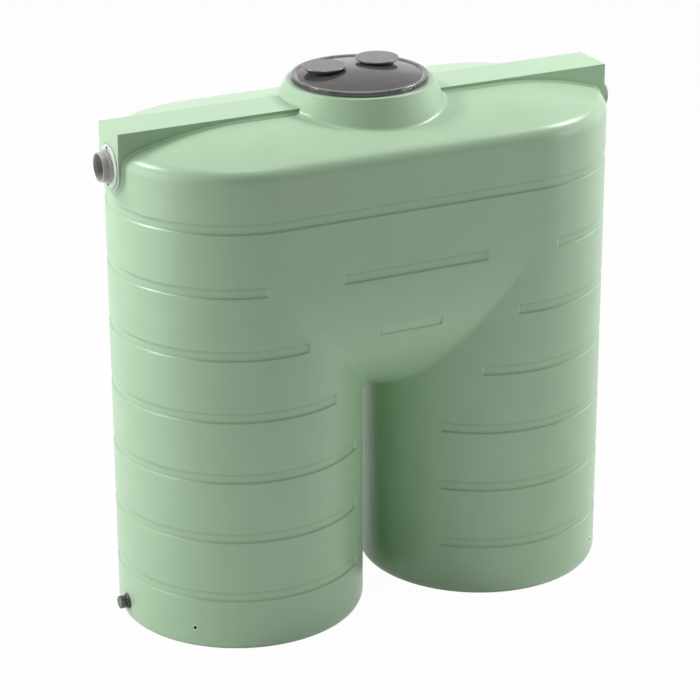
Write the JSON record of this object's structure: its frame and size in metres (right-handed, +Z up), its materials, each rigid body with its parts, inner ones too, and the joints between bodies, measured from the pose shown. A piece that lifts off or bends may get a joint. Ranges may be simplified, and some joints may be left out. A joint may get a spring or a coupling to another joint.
{
  "type": "slimline water tank",
  "caption": "Slimline rainwater tank on two round legs, with a domed access lid, overflow spigots at both ends and a low plugged outlet.",
  "frame": {"origin": "on the floor, at the middle of the tank between its two legs", "axes": "+X along the tank's length, away from the outlet; +Y to the rear; +Z up"},
  "size_m": [1.716, 0.78, 1.702],
  "materials": {
    "tank_plastic": "satin",
    "lid": "gloss",
    "lid_caps": "satin",
    "overflow_plastic": "satin",
    "outlet_plastic": "satin",
    "insert_metal": "dull"
  },
  "bodies": {
    "root": {"bridge_underside": "tank_plastic", "front_wall": "tank_plastic", "left_cap_collar": "lid_caps", "left_end_wall": "tank_plastic", "left_front_anchor_insert": "insert_metal", "left_front_leg_wall": "tank_plastic", "left_leg_base": "tank_plastic", "left_lid_cap": "lid_caps", "left_overflow_channel": "tank_plastic", "left_overflow_flange": "overflow_plastic", "left_overflow_spigot": "overflow_plastic", "left_rear_anchor_insert": "insert_metal", "left_rear_leg_wall": "tank_plastic", "lid_dome": "lid", "lid_rim": "lid", "neck": "tank_plastic", "neck_lip": "tank_plastic", "outlet_body": "outlet_plastic", "outlet_flange_nut": "outlet_plastic", "outlet_plug": "outlet_plastic", "rear_wall": "tank_plastic", "right_cap_collar": "lid_caps", "right_end_wall": "tank_plastic", "right_front_anchor_insert": "insert_metal", "right_front_leg_wall": "tank_plastic", "right_leg_base": "tank_plastic", "right_lid_cap": "lid_caps", "right_overflow_channel": "tank_plastic", "right_overflow_flange": "overflow_plastic", "right_overflow_spigot": "overflow_plastic", "right_rear_anchor_insert": "insert_metal", "right_rear_leg_wall": "tank_plastic", "roof": "tank_plastic"}
  },
  "joints": []
}
